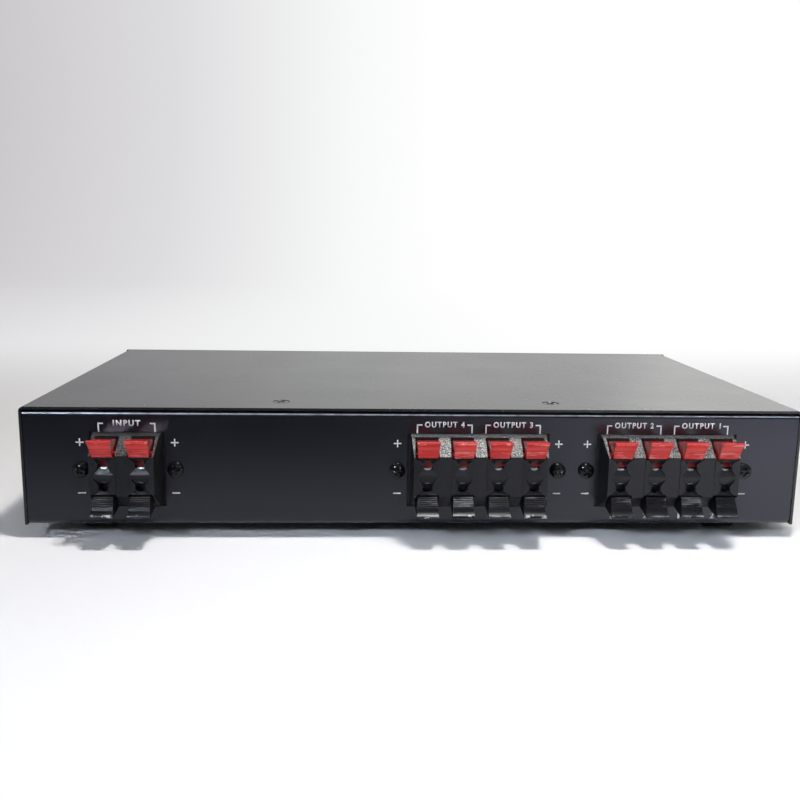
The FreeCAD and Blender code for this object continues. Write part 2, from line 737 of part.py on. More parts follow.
def make_back_plate(block, columns):
    """Insulating plate that closes a block from behind and holds its contacts."""
    body = new_body(f"{block}_back_plate", block_x[block], rear, block_level)
    half = block_half_length(columns)
    plate_front = block_back - s.seat_gap
    outline = rectangle(-half, half, -s.block_half_height, s.block_half_height)
    plate = new_sketch(body, "plate_outline", "XZ_Plane", plate_front, [outline])
    pad(body, "plate", plate, s.back_plate_thickness, rearwards=False)
    gap = s.contact_slot_clearance
    tag_half = s.contact_width / 2 + gap
    slots = [rectangle(x - tag_half, x + tag_half, (s.contact_rise - gap) * up,
                       (s.contact_rise + s.contact_thickness + gap) * up)
             for x in column_offsets(columns) for up in (1, -1)]
    cuts = new_sketch(body, "tag_slots", "XZ_Plane", plate_front, slots)
    pocket(body, "tag_cut_outs", cuts, s.back_plate_thickness, rearwards=False)


def make_contacts(block, columns):
    """Spring contacts of a block: a strip with a lip behind the hole and a leaf under the lever."""
    strip_top = s.contact_rise + s.contact_thickness
    tag_end = block_back - s.seat_gap - s.back_plate_thickness - s.contact_tag
    lip_back = s.contact_lip_reach - s.contact_thickness
    leaf_run = s.spring_tip_reach - s.spring_foot_reach
    leaf_slope = (s.spring_tip_rise - strip_top) / leaf_run
    leaf_root = s.spring_foot_reach - s.spring_thickness * 2
    outline = [(tag_end, s.contact_rise), (s.contact_lip_reach, s.contact_rise),
               (s.contact_lip_reach, s.contact_lip_rise), (lip_back, s.contact_lip_rise),
               (lip_back, strip_top), (s.spring_foot_reach, strip_top),
               (s.spring_tip_reach, s.spring_tip_rise),
               (s.spring_tip_reach - s.spring_thickness * leaf_slope,
                s.spring_tip_rise + s.spring_thickness),
               (leaf_root, strip_top), (tag_end, strip_top)]
    body = new_body(f"{block}_contacts", block_x[block], rear, block_level)
    upper = outline
    lower = [(reach, -as_size(rise)) for reach, rise in outline]
    for number, x in enumerate(column_offsets(columns), start=1):
        section = new_sketch(body, f"strips_{number}", "YZ_Plane", x, [upper, lower])
        pad(body, f"contacts_{number}", section, s.contact_width, "Symmetric")


def lever_outline():
    """Side view of a lever: ribbed tab outside, arm behind the wire hole inside."""
    base = lever_edge_rise + s.lever_top_gap
    lean = (s.tab_tip_reach - s.tab_base_reach) / (s.tab_tip_rise - s.tab_tip_flat - base)

    def outer_face(rise):
        return s.tab_base_reach + lean * (rise - base)

    outline = [(s.tab_base_reach, base)]
    for number in range(RIB_COUNT):
        low = s.rib_first_rise + s.rib_pitch * number
        middle = low + s.rib_pitch / 4
        high = low + s.rib_pitch / 2
        outline += [(outer_face(low), low), (outer_face(middle) - s.rib_depth, middle),
                    (outer_face(high), high)]
    outline += [(s.tab_tip_reach, s.tab_tip_rise - s.tab_tip_flat), (s.tab_tip_reach, s.tab_tip_rise),
                (s.tab_back_reach, s.tab_back_rise), (s.arm_back_reach, s.pivot_rise),
                (s.arm_back_reach, s.arm_back_rise), (s.arm_front_reach, s.arm_front_rise),
                (s.arm_front_reach, base - s.arm_heel_step),
                (s.arm_front_reach + s.arm_heel_step, base)]
    return outline


def make_lever(name, block, x, upper):
    """One sprung lever, with a pivot lug on each side; the lower one is the upper one turned over."""
    turned = FreeCAD.Rotation() if upper else FreeCAD.Rotation(Y_AXIS, 180)
    body = new_body(name, block_x[block] + x, rear, block_level, turned)
    side = new_sketch(body, "side_view", "YZ_Plane", 0, [lever_outline()])
    pad(body, "lever", side, s.lever_width, "Symmetric")
    dress(body, "Chamfer", "tip_edge", s.tab_tip_edge,
          lambda edge: runs_along(edge, X_AXIS) and near(edge.CenterOfMass.y, s.tab_tip_reach)
          and near(edge.CenterOfMass.z, s.tab_tip_rise))
    lug = new_sketch(body, "lug_outline", "YZ_Plane", 0,
                     [hidden_round(s.pivot_reach, s.pivot_rise, s.pivot_diameter / 2)])
    pad(body, "pivot_lugs", lug, (lever_slot_half + s.pivot_engagement) * 2, "Symmetric")


def make_terminals():
    """The three terminal blocks with everything they hold."""
    for block, columns in COLUMNS.items():
        make_block(block, columns)
        make_back_plate(block, columns)
        make_contacts(block, columns)
        for number, x in enumerate(column_offsets(columns), start=1):
            make_lever(f"{block}_red_lever_{number}", block, x, True)
            make_lever(f"{block}_black_lever_{number}", block, x, False)


# ---------------------------------------------------------------- switch gear

def make_circuit_board():
    """Board that carries the switches."""
    body = new_body("circuit_board")
    plan = new_sketch(body, "board_outline", "XY_Plane", board_bottom + s.seat_gap,
                      [rectangle(-board_half, board_half, board_front, board_back)])
    pad(body, "board", plan, s.board_thickness - s.seat_gap)


def make_board_supports():
    """Four posts, each with a groove that takes the board's end."""
    body = new_body("board_supports")
    inner, outer = board_half - s.support_grip, board_half + s.support_wall
    groove = board_half + s.seat_gap
    stop, low = board_top + s.support_lip, floor + s.seat_gap
    post = [(inner, low), (outer, low), (outer, stop), (inner, stop), (inner, board_top + s.seat_gap),
            (groove, board_top + s.seat_gap), (groove, board_bottom), (inner, board_bottom)]
    pair = [post, [(-x, z) for x, z in post]]
    for end, y in (("front", board_front + s.support_inset),
                   ("rear", board_back - s.support_inset - s.support_length)):
        section = new_sketch(body, f"{end}_section", "XZ_Plane", y, pair)
        pad(body, f"{end}_posts", section, s.support_length)


def make_push_switch(name, x):
    """One push switch: housing on the board, plunger, and button pressed on the plunger."""
    half_w, half_h = s.switch_width / 2, s.switch_height / 2
    housing = new_body(f"{name}_switch", x, switch_front, button_level)
    box = new_sketch(housing, "housing_outline", "XZ_Plane", 0,
                     [rectangle(-half_w, half_w, -half_h, half_h)])
    pad(housing, "housing", box, s.switch_length)
    bore_half = s.plunger_side / 2 + s.plunger_gap
    bore = new_sketch(housing, "bore_outline", "XZ_Plane", 0,
                      [rectangle(-bore_half, bore_half, -bore_half, bore_half)])
    pocket(housing, "bore", bore, s.plunger_engagement + s.button_travel + s.switch_bottom_gap)

    button_front = front - s.button_reach
    button_back = button_front + s.button_length
    socket_floor = button_back - s.plunger_socket
    plunger = new_body(f"{name}_plunger", x, 0, button_level)
    plunger_half = s.plunger_side / 2
    rod = new_sketch(plunger, "rod_outline", "XZ_Plane", socket_floor + s.plunger_fit,
                     [rectangle(-plunger_half, plunger_half, -plunger_half, plunger_half)])
    pad(plunger, "rod", rod, switch_front + s.plunger_engagement - socket_floor - s.plunger_fit)

    button = new_body(f"{name}_button", x, 0, button_level)
    face = new_sketch(button, "face_outline", "XZ_Plane", button_front,
                      [rectangle(-s.button_width / 2, s.button_width / 2,
                                 -s.button_height / 2, s.button_height / 2)])
    pad(button, "cap", face, s.button_length)
    dress(button, "Chamfer", "face_edges", s.button_edge,
          lambda edge: near(edge.CenterOfMass.y, button_front))
    socket_half = plunger_half + s.plunger_fit
    socket = new_sketch(button, "socket_outline", "XZ_Plane", socket_floor,
                        [rectangle(-socket_half, socket_half, -socket_half, socket_half)])
    pocket(button, "socket", socket, s.plunger_socket)


def make_power_resistors():
    """Cement-cased resistors that keep the amplifier's load safe."""
    body = new_body("power_resistors")
    y_back = board_back - s.resistor_setback
    outlines = []
    for number in range(RESISTOR_COUNT):
        x = s.resistor_pitch * (number - (RESISTOR_COUNT - 1) / 2)
        outlines.append(rectangle(x - s.resistor_length / 2, x + s.resistor_length / 2,
                                  y_back - s.resistor_width, y_back))
    plan = new_sketch(body, "case_outlines", "XY_Plane", board_top + s.seat_gap, outlines)
    pad(body, "cases", plan, s.resistor_height)


def make_ribbons():
    """Two ribbons of wires from each block's tags to the board, the red row's over the black's."""
    body = new_body("wiring_ribbons")
    half = s.ribbon_thickness / 2
    tag_end = rear + block_back - s.back_plate_thickness - s.seat_gap * 2 - s.contact_tag
    tag_rise = s.contact_rise + s.contact_thickness / 2
    for block, columns in COLUMNS.items():
        width = s.column_pitch * (columns - 1) + s.ribbon_margin * 2
        for up, layer in ((-1, 0), (1, 1)):
            start = block_level + tag_rise * up
            rest = board_top + s.seat_gap + half + (s.ribbon_thickness + s.seat_gap) * layer
            line = [(tag_end, start), (tag_end - s.ribbon_run, start),
                    (board_back + s.ribbon_lead, rest), (board_back - s.ribbon_overlap, rest)]
            outline = [(y, z - half) for y, z in line] + [(y, z + half) for y, z in reversed(line)]
            section = new_sketch(body, f"{block}_section_{layer}", "YZ_Plane", block_x[block], [outline])
            pad(body, f"{block}_ribbon_{layer}", section, width, "Symmetric")


def make_switch_gear():
    """Board, switches, resistors and wiring inside the case."""
    make_circuit_board()
    make_board_supports()
    for name, x in zip(BUTTON_NAMES, button_x):
        make_push_switch(name, x)
    make_power_resistors()
    make_ribbons()


# ---------------------------------------------------------------- checking and writing

def check_document():
    """Stop on any object that failed, and on any piece without a sound shape."""
    doc.recompute()
    for thing in doc.Objects:
        if {"Invalid", "Error"} & set(thing.State):
            raise ValueError(f"{thing.Label} failed: {thing.State}")
    for piece in parts:
        if piece.Shape.isNull() or not piece.Shape.isValid() or not piece.Shape.Solids:
            raise ValueError(f"{piece.Label} has no sound shape")


def write_parts():
    """Write each piece to a file of its own name."""
    os.makedirs("parts", exist_ok=True)
    for piece in parts:
        piece.Shape.exportStep(f"parts/{piece.Label}.step")


make_top_cover()
make_chassis()
make_front_fascia()
make_feet()
make_fasteners()
make_terminals()
make_switch_gear()
check_document()
write_parts()
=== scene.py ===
"""Looks of the speaker selector switch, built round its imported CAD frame.

Metres, in the CAD frame: +X to the right seen from the front, +Y to the rear (the
terminals, which the camera faces), +Z up, with the table at Z = 0.
"""

import json
import math

import bmesh
import bpy
from mathutils import Matrix, Vector


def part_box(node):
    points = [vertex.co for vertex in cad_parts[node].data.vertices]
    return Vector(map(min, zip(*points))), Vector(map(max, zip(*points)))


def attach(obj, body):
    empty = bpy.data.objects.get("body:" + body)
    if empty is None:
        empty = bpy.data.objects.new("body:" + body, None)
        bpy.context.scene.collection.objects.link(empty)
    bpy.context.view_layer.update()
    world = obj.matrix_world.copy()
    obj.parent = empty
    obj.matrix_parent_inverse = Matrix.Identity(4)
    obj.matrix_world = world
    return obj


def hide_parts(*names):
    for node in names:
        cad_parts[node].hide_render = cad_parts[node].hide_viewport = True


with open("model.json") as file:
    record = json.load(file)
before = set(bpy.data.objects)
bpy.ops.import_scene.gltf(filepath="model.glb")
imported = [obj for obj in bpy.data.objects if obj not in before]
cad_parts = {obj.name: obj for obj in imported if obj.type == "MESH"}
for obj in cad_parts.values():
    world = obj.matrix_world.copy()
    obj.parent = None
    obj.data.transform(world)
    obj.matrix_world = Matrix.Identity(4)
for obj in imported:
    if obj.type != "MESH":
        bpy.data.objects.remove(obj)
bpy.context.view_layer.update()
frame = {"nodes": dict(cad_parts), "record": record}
nodes = frame["nodes"]

MM = 0.001
COLUMNS = {"input": 2, "output_a": 4, "output_b": 4}

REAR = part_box("chassis")[1].y
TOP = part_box("top_cover")[1].z
CASE_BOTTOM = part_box("top_cover")[0].z
BLOCK_LEVEL = sum(corner.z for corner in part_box("input_terminal_block")) / 2
COLUMN_PITCH = 13.5 * MM
SCREW_BEYOND_COLUMN = 11.0 * MM         # a terminal screw from the outer column's middle


def column_x(block, number):
    """Middle of one of a block's columns."""
    low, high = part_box(f"{block}_red_lever_{number}")
    return (low.x + high.x) / 2


def block_x(block):
    """Middle of a block."""
    return (column_x(block, 1) + column_x(block, COLUMNS[block])) / 2


def screw_x(block):
    """The two terminal screws of a block."""
    reach = COLUMN_PITCH * (COLUMNS[block] - 1) / 2 + SCREW_BEYOND_COLUMN
    return [block_x(block) - reach, block_x(block) + reach]


# ---------------------------------------------------------------- shader nodes

def node_tree(material):
    """Empty node tree of a material, with its output."""
    material.use_nodes = True
    tree = material.node_tree
    tree.nodes.clear()
    return tree, tree.nodes.new("ShaderNodeOutputMaterial")


def ramp_of(tree, value, stops):
    """Colour ramp over a value, from (position, colour) stops."""
    ramp = tree.nodes.new("ShaderNodeValToRGB")
    elements = ramp.color_ramp.elements
    while len(elements) < len(stops):
        elements.new(0.5)
    for element, (position, colour) in zip(elements, stops):
        element.position = position
        element.color = (*colour, 1.0)
    tree.links.new(value, ramp.inputs["Fac"])
    return ramp.outputs["Color"]


def mapped(tree, value, low, high, start=0.0, end=1.0, smooth=False):
    """A value brought from one range to another and held inside it."""
    node = tree.nodes.new("ShaderNodeMapRange")
    node.interpolation_type = "SMOOTHSTEP" if smooth else "LINEAR"
    node.inputs["From Min"].default_value = low
    node.inputs["From Max"].default_value = high
    node.inputs["To Min"].default_value = start
    node.inputs["To Max"].default_value = end
    tree.links.new(value, node.inputs["Value"])
    return node.outputs["Result"]


def math_node(tree, operation, *values):
    """One arithmetic step on one or two values, each a socket or a number."""
    node = tree.nodes.new("ShaderNodeMath")
    node.operation = operation
    for socket, value in zip(node.inputs, values):
        if isinstance(value, (int, float)):
            socket.default_value = value
        else:
            tree.links.new(value, socket)
    return node.outputs["Value"]


def product(tree, first, *others):
    """Several values multiplied, each a socket or a number."""
    for other in others:
        first = math_node(tree, "MULTIPLY", first, other)
    return first


def component(tree, kind, output, axis):
    """One axis of a vector that a new node of some kind gives."""
    source = tree.nodes.new(kind)
    split = tree.nodes.new("ShaderNodeSeparateXYZ")
    tree.links.new(source.outputs[output], split.inputs[0])
    return split.outputs[axis]


def place_along(tree, axis):
    """A piece's own coordinate along one axis."""
    return component(tree, "ShaderNodeTexCoord", "Object", axis)


def facing_along(tree, axis):
    """How far a piece's surface faces along one of its axes, from -1 to 1."""
    return component(tree, "ShaderNodeTexCoord", "Normal", axis)


def mixed(tree, factor, first, second):
    """Two shaders mixed by a value."""
    mix = tree.nodes.new("ShaderNodeMixShader")
    tree.links.new(factor, mix.inputs["Fac"])
    tree.links.new(first, mix.inputs[1])
    tree.links.new(second, mix.inputs[2])
    return mix.outputs[0]


def blended(tree, factor, first, second):
    """Two colours mixed by a value; the second is written out."""
    mix = tree.nodes.new("ShaderNodeMix")
    mix.data_type = "RGBA"
    tree.links.new(factor, mix.inputs["Factor"])
    tree.links.new(first, mix.inputs["A"])
    mix.inputs["B"].default_value = (*second, 1.0)
    return mix.outputs["Result"]


def ray(tree, kind):
    """1 for the rays of one kind and 0 for the others."""
    return tree.nodes.new("ShaderNodeLightPath").outputs[f"Is {kind} Ray"]


def seen_directly(tree):
    """1 for rays from the camera, from a mirror-like surface or through glass."""
    either = math_node(tree, "MAXIMUM", ray(tree, "Camera"), ray(tree, "Glossy"))
    return math_node(tree, "MAXIMUM", either, ray(tree, "Transmission"))


# ---------------------------------------------------------------- camera and stage

CAMERA_PLACE = (0.02436, 0.41427, 0.11844)
CAMERA_TURN = (177.1, 10.617, 0.911)    # round Z, then down, then its roll, in degrees
LENS, SENSOR_WIDTH = 40.608, 36.0       # mm

FLOOR_NEAR, FLOOR_FAR = 1.6, -1.5       # the level floor's ends, along Y
SWEEP_RADIUS, SWEEP_STEPS = 0.5, 12     # the floor's bend up into the backdrop
BACKDROP_HEIGHT = 1.8
STAGE_HALF_WIDTH = 3.0
# the glow's colours: the grey at the left is painted shade on the backdrop
BACKDROP_COLOURS = [                    # (share of the way from left to right, colour)
    (0.0, (0.55, 0.53, 0.55)), (0.28, (0.72, 0.71, 0.73)),
    (0.48, (0.93, 0.94, 0.94)), (0.58, (1.0, 1.0, 1.0)),
]
FLOOR_WHITE, FLOOR_WARM = (0.94, 0.935, 0.93), (0.97, 0.93, 0.90)
PAINTED_FLOOR_SHADE = (0.03, 0.03, 0.05, 1.0)
GLOW_AS_LIGHT = 0.45                    # of the backdrop, as a share of how bright it looks
# Stretches of the paper over which its warm tint, its painted shade in reflections and its glow
# set in, in metres.
WARM_ALONG_X, WARM_ALONG_Y = (-0.05, 0.35), (0.16, -0.12)
SHADE_ALONG_X, SHADE_ALONG_Y = (-0.18, 0.03), (0.10, 0.27)
GLOW_ALONG_X, GLOW_ALONG_Y = (1.1, -1.1), (0.05, -0.55)


def make_camera():
    """The view of the case from behind, a little above its top."""
    yaw, down, roll = (math.radians(angle) for angle in CAMERA_TURN)
    data = bpy.data.cameras.new("camera")
    data.sensor_width = SENSOR_WIDTH
    data.lens = LENS
    camera = bpy.data.objects.new("camera", data)
    bpy.context.scene.collection.objects.link(camera)
    turn = Matrix.Rotation(yaw, 4, "Z") @ Matrix.Rotation(math.pi / 2 - down, 4, "X")
    turn = turn @ Matrix.Rotation(roll, 4, "Z")
    camera.matrix_world = Matrix.Translation(CAMERA_PLACE) @ turn
    bpy.context.scene.camera = camera


def make_stage():
    """A wide sheet of paper: a level floor that sweeps up into a backdrop."""
    section = [(FLOOR_NEAR, 0.0)]
    for i in range(SWEEP_STEPS + 1):
        angle = math.pi / 2 * i / SWEEP_STEPS
        section.append((FLOOR_FAR - SWEEP_RADIUS * math.sin(angle),
                        SWEEP_RADIUS * (1 - math.cos(angle))))
    section.append((FLOOR_FAR - SWEEP_RADIUS, BACKDROP_HEIGHT))
    mesh = bpy.data.meshes.new("backdrop")
    verts = [(x, y, z) for y, z in section for x in (STAGE_HALF_WIDTH, -STAGE_HALF_WIDTH)]
    faces = [(2 * i, 2 * i + 1, 2 * i + 3, 2 * i + 2) for i in range(len(section) - 1)]
    mesh.from_pydata(verts, [], faces)
    mesh.shade_smooth()
    mesh.materials.append(backdrop_paper())
    backdrop = bpy.data.objects.new("backdrop", mesh)
    bpy.context.scene.collection.objects.link(backdrop)


def backdrop_paper():
    """Lit paper near the case, which turns into an even glow behind it, grey at the left as
    painted shade.

    In mirror-like surfaces the floor between the case and the camera is painted darker, a
    painted shade that only reflections see, as where whoever takes the picture stands.
    """
    material = bpy.data.materials.new("backdrop_paper")
    tree, output = node_tree(material)
    x = component(tree, "ShaderNodeNewGeometry", "Position", "X")
    y = component(tree, "ShaderNodeNewGeometry", "Position", "Y")

    lit = tree.nodes.new("ShaderNodeBsdfDiffuse")
    far_left = product(tree, mapped(tree, x, *WARM_ALONG_X, smooth=True),
                       mapped(tree, y, *WARM_ALONG_Y, smooth=True))
    tree.links.new(ramp_of(tree, far_left, [(0.0, FLOOR_WHITE), (1.0, FLOOR_WARM)]),
                   lit.inputs["Color"])
    # painted shade: a dark floor that only mirror-like surfaces see, deeper towards the camera
    # and at the left
    dark = tree.nodes.new("ShaderNodeBsdfDiffuse")
    dark.inputs["Color"].default_value = PAINTED_FLOOR_SHADE
    towards_camera = mapped(tree, y, *SHADE_ALONG_Y, 0.5, 1.0, smooth=True)
    leftward = mapped(tree, x, *SHADE_ALONG_X, 0.15, 1.0, smooth=True)
    before_panel = math_node(tree, "GREATER_THAN", y, REAR)
    shaded = product(tree, towards_camera, leftward, before_panel, ray(tree, "Glossy"))
    floor = mixed(tree, shaded, lit.outputs[0], dark.outputs[0])

    glow = tree.nodes.new("ShaderNodeEmission")
    across = mapped(tree, x, *GLOW_ALONG_X)
    tree.links.new(ramp_of(tree, across, BACKDROP_COLOURS), glow.inputs["Color"])
    tree.links.new(mapped(tree, seen_directly(tree), 0.0, 1.0, GLOW_AS_LIGHT, 1.0),
                   glow.inputs["Strength"])
    behind = mapped(tree, y, *GLOW_ALONG_Y, smooth=True)
    tree.links.new(mixed(tree, behind, floor, glow.outputs[0]), output.inputs["Surface"])
    return material


# ---------------------------------------------------------------- light

ROOM_LIGHT, ROOM_LIGHT_COLOUR = 0.10, (0.93, 0.96, 1.0, 1.0)
ROOM_BEHIND_CAMERA = 0.3                # its brightest part, in mirror-like surfaces
ROOM_SEEN = 0.88                        # the same part, looked at directly
LAMP_WARM, LAMP_COOL = (1.0, 0.985, 0.965), (0.78, 0.85, 1.0)
LAMP_SIDE, LAMP_FILL = (1.0, 1.0, 0.97), (0.78, 0.82, 1.0)


def make_world():
    """Even soft light; the room itself is white ahead of the camera and dimmer behind it."""
    world = bpy.data.worlds.new("room")
    bpy.context.scene.world = world
    world.use_nodes = True
    tree = world.node_tree
    tree.nodes.clear()
    output = tree.nodes.new("ShaderNodeOutputWorld")
    x, y, z = (component(tree, "ShaderNodeTexCoord", "Generated", axis) for axis in "XYZ")
    side = mapped(tree, x, 0.8, -0.8, 0.35, 1.0)
    height = mapped(tree, z, -0.1, 0.9, 0.5, 1.0)
    behind = math_node(tree, "MAXIMUM", product(tree, side, height, ROOM_BEHIND_CAMERA),
                       product(tree, ray(tree, "Camera"), ROOM_SEEN))
    level = tree.nodes.new("ShaderNodeMix")
    level.data_type = "FLOAT"
    tree.links.new(mapped(tree, y, -0.5, 0.4, smooth=True), level.inputs["Factor"])
    level.inputs["A"].default_value = 1.0
    tree.links.new(behind, level.inputs["B"])
    room = tree.nodes.new("ShaderNodeBackground")
    tree.links.new(level.outputs["Result"], room.inputs["Strength"])
    even = tree.nodes.new("ShaderNodeBackground")
    even.inputs["Color"].default_value = ROOM_LIGHT_COLOUR
    even.inputs["Strength"].default_value = ROOM_LIGHT
    tree.links.new(mixed(tree, seen_directly(tree), even.outputs[0], room.outputs[0]),
                   output.inputs["Surface"])


def make_lamp(name, place, target, size, power, colour, spread=180.0):
    """One rectangular lamp that faces a point, its longer side level; its spread in degrees."""
    data = bpy.data.lights.new(name, "AREA")
    data.shape = "RECTANGLE"
    data.size, data.size_y = size
    data.energy = power
    data.color = colour
    data.spread = math.radians(spread)
    lamp = bpy.data.objects.new(name, data)
    bpy.context.scene.collection.objects.link(lamp)
    lamp.location = place
    lamp.rotation_euler = (Vector(target) - Vector(place)).to_track_quat("-Z", "Y").to_euler()
    lamp.visible_camera = False


def lamp_power(distance, share):
    """Power of a small lamp that lights a white surface facing it to a share of white."""
    return (math.pi * distance) ** 2 * share


def make_lamps():
    """A lamp over the rear panel, a tube and a window band, and three weaker lamps.

    The hanging lamp casts the shadows below the panel. The near lamp stands behind the
    camera at its left and lights the panel. The fill hangs low beyond the outputs' end.
    """
    edge = Vector((0, REAR, TOP))
    for name, offset, size, share, colour in (
            # name, place from the panel's top edge, size, share of white there, colour
            ("hanging_lamp", (-0.085, 0.12, 0.54), (0.08, 0.07), 0.84, LAMP_WARM),
            ("ceiling_tube", (0.0, 0.32, 1.6), (2.6, 0.04), 0.10, LAMP_WARM),
            ("window_band", (-0.2, 0.95, 0.54), (1.8, 0.04), 0.11, LAMP_COOL),
            ("side_panel", (-1.25, -1.5, 0.75), (1.6, 0.9), 0.07, LAMP_SIDE)):
        offset = Vector(offset)
        make_lamp(name, edge + offset, edge, size, lamp_power(offset.length, share), colour)
    near_offset, near_distance = Vector((0.47, 0.838, 0.50)), 1.08
    make_lamp("near_lamp", edge + near_offset, (-0.12, REAR, 0), (0.16, 0.05),
              lamp_power(near_distance, 0.036), LAMP_COOL, spread=46)
    fill_x, fill_y, fill_height = -0.31, 0.27, 0.30
    make_lamp("low_fill", (fill_x, fill_y, fill_height), (fill_x, fill_y, 0), (0.2, 0.2),
              lamp_power(fill_height, 0.25), LAMP_FILL, spread=75)


# ---------------------------------------------------------------- levers: shape

# A lever from the side, as (reach from the panel, rise from the block's middle), in mm.
TAB_BASE, TAB_TIP = Vector((11.0, 7.15)), Vector((15.3, 13.95))     # the tab's outer face
TAB_NORMAL = Vector(((TAB_TIP - TAB_BASE).y, -(TAB_TIP - TAB_BASE).x)).normalized()
TAB_ROOT = (7.4, 7.15)
CREST = ((15.27, 14.0), (15.3, 14.2), (15.25, 14.4), (15.12, 14.55), (14.92, 14.62),
         (14.7, 14.58))
BACK_AND_ARM = ((5.6, 13.15), (4.5, 8.0), (4.5, 3.9), (6.9, 3.2), (6.9, 6.65))
RIBS, RIB_DEPTH, RIB_STEPS = 5, 0.34, 8
RIBS_FROM, RIBS_TO, HOLLOW_TO = 0.02, 0.52, 0.95        # shares of the outer face's length
HOLLOW_DEPTH, HOLLOW_STEPS = 0.42, 12
PIVOT = (7.2, 8.0)
LUG_RADIUS = 0.86
CREST_RISE, CREST_HALF_WIDTH, TAPER = 14.65, 4.3, 0.085


def lever_profile():
    """Side view of a lever in mm: ribs low on its tab, a hollow for the thumb, a crest."""
    along = TAB_TIP - TAB_BASE
    points = [Vector(TAB_ROOT)]
    samples = RIB_STEPS * RIBS
    for i in range(samples + 1):
        turn = RIBS * i / samples
        depth = RIB_DEPTH * (1 - abs(math.sin(math.pi * turn)) ** 0.8)
        share = RIBS_FROM + (RIBS_TO - RIBS_FROM) * i / samples
        points.append(TAB_BASE + along * share - TAB_NORMAL * depth)
    for i in range(1, HOLLOW_STEPS + 1):
        gone = i / HOLLOW_STEPS
        share = RIBS_TO + (HOLLOW_TO - RIBS_TO) * gone
        depth = HOLLOW_DEPTH * math.sin(math.pi * gone) ** 0.9 * (1 - 0.35 * gone)
        last_groove = RIB_DEPTH * max(0.0, 1 - i / 2.0)
        points.append(TAB_BASE + along * share - TAB_NORMAL * max(depth, last_groove))
    return points + [Vector(point) for point in CREST + BACK_AND_ARM]


def lever_half_width(rise):
    """A lever is widest at its crest and narrows evenly to the end of its arm, in mm."""
    return CREST_HALF_WIDTH - TAPER * (CREST_RISE - rise)


# ---------------------------------------------------------------- materials

def noise(tree, scale, detail, roughness, stretch=(1.0, 1.0, 1.0)):
    """Noise over the piece's own coordinates; scale counts its features in a metre."""
    place = tree.nodes.new("ShaderNodeTexCoord")
    mapping = tree.nodes.new("ShaderNodeMapping")
    mapping.inputs["Scale"].default_value = stretch
    tree.links.new(place.outputs["Object"], mapping.inputs["Vector"])
    texture = tree.nodes.new("ShaderNodeTexNoise")
    texture.inputs["Scale"].default_value = scale
    texture.inputs["Detail"].default_value = detail
    texture.inputs["Roughness"].default_value = roughness
    tree.links.new(mapping.outputs[0], texture.inputs["Vector"])
    return texture.outputs["Fac"]


def surface(name, dark, light, rough, grain, relief, patch=60.0, wear=None, **plain):
    """A finish whose colour, roughness and relief vary as moulded or painted ones do.

    dark and light are the two ends of its colour, rough the two ends of its roughness,
    grain the features of its texture in a metre, and relief their height in metres.
    patch is the number of its patches of colour in a metre. wear, if it is
    given, takes the node tree and this colour and gives the colour with its painted light and
    marks. plain holds other sockets.
    """
    material = bpy.data.materials.new(name)
    tree, output = node_tree(material)
    shader = tree.nodes.new("ShaderNodeBsdfPrincipled")
    for socket, value in plain.items():
        shader.inputs[socket.replace("_", " ")].default_value = value
    patches = noise(tree, patch, 4.0, 0.6)
    colour = ramp_of(tree, mapped(tree, patches, 0.3, 0.7), [(0.0, dark), (1.0, light)])
    if wear:
        colour = wear(tree, colour)
    tree.links.new(colour, shader.inputs["Base Color"])
    tree.links.new(mapped(tree, patches, 0.25, 0.75, *rough), shader.inputs["Roughness"])
    bump = tree.nodes.new("ShaderNodeBump")
    bump.inputs["Distance"].default_value = relief
    tree.links.new(noise(tree, grain, 3.0, 0.6), bump.inputs["Height"])
    tree.links.new(bump.outputs[0], shader.inputs["Normal"])
    tree.links.new(shader.outputs[0], output.inputs["Surface"])
    return material


# Stretches over which the painted light and the pale tips set in: along Y in mm beyond the
# panel, along X in metres.
OUTER_FACE, RIBBED_PART, TIP, INSIDE = (10.9, 11.3), (13.4, 13.2), (14.6, 15.3), (7.3, 7.0)
INPUT_END, TIPS_ALONG_X = (0.03, 0.09), (-0.070, -0.055)
OFF_PANEL, PANEL_BEND = (1.0, 4.5), (-2.0, -1.5)
# Heights, in metres, between which the painted highlight on the bend and the painted glints come
# and go.
LINE_FROM, LINE_TO = (TOP - 2.75 * MM, TOP - 2.5 * MM), (TOP - 2.1 * MM, TOP - 2.3 * MM)
GLINTS_FROM = (BLOCK_LEVEL + 7.0 * MM, BLOCK_LEVEL + 7.6 * MM)
# Depths below a tab's outer face, in metres.
IN_GROOVE, ON_RIDGE = (0.10 * MM, 0.30 * MM), (0.10 * MM, 0.02 * MM)


def below_tab_face(tree):
    """How far a point of a lever lies below the plane of its tab's outer face, in metres."""
    level = math_node(tree, "SUBTRACT", place_along(tree, "Z"), BLOCK_LEVEL)
    rise = math_node(tree, "SUBTRACT", math_node(tree, "ABSOLUTE", level), TAB_BASE.y * MM)
    reach = math_node(tree, "SUBTRACT", place_along(tree, "Y"), REAR + TAB_BASE.x * MM)
    return math_node(tree, "ADD", product(tree, reach, -TAB_NORMAL.x),
                     product(tree, rise, -TAB_NORMAL.y))


def beyond_panel(tree, start, end, low=0.0, high=1.0):
    """A value that goes from low to high between two distances from the panel, in mm."""
    return mapped(tree, place_along(tree, "Y"), REAR + start * MM, REAR + end * MM, low, high)


